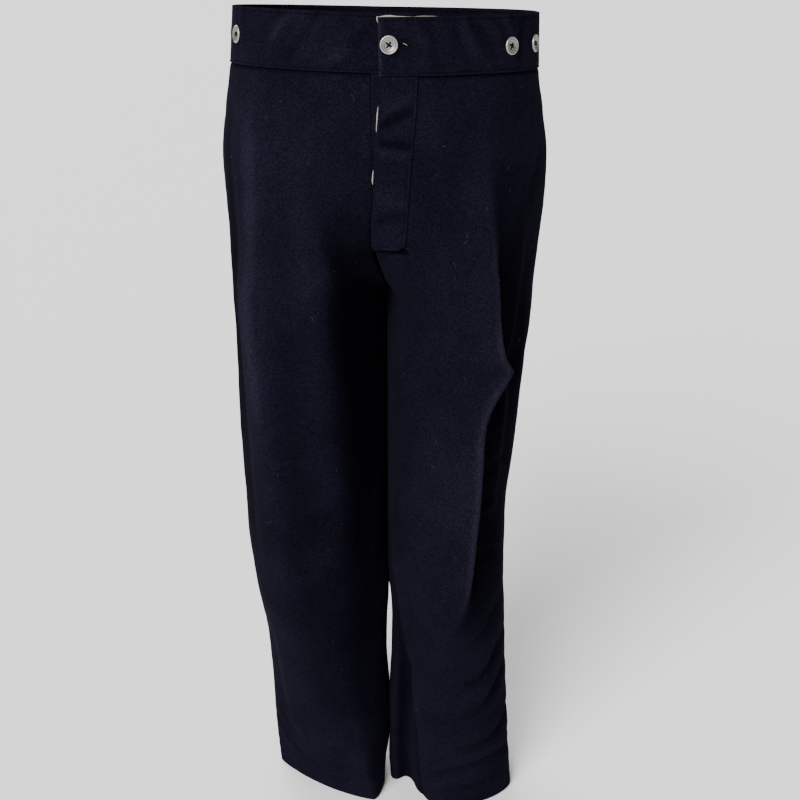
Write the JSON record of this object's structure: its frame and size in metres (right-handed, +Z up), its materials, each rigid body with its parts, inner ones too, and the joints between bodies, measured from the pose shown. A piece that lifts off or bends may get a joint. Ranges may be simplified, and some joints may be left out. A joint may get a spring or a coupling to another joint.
{
  "type": "uniform trousers",
  "caption": "Heavy wool uniform trousers in their worn, hollow form, with waistband, button fly and brace buttons, open at waist and hems.",
  "frame": {"origin": "centre of the waist opening, at the height of the waistband's top edge in front, where the wearer holds the trousers up", "axes": "+Z up, front towards -Y, the wearer's left leg at +X"},
  "size_m": [0.3614, 0.272, 1.0142],
  "materials": {
    "wool": "matte fulled navy wool",
    "lining": "plain pale cotton",
    "button": "dull pressed metal"
  },
  "bodies": {
    "root": {"right_front": "wool", "left_front": "wool", "right_back": "wool", "left_back": "wool", "waistband_right": "wool", "waistband_left": "wool", "fly_flap": "wool", "fly_stand": "wool", "waistband_lining_right": "lining", "waistband_lining_left": "lining", "fly_facing": "lining", "brace_button_left_back": "button", "brace_button_left_front": "button", "brace_button_left_side": "button", "brace_button_right_back": "button", "brace_button_right_front": "button", "brace_button_right_side": "button", "waist_button": "button"}
  },
  "joints": []
}
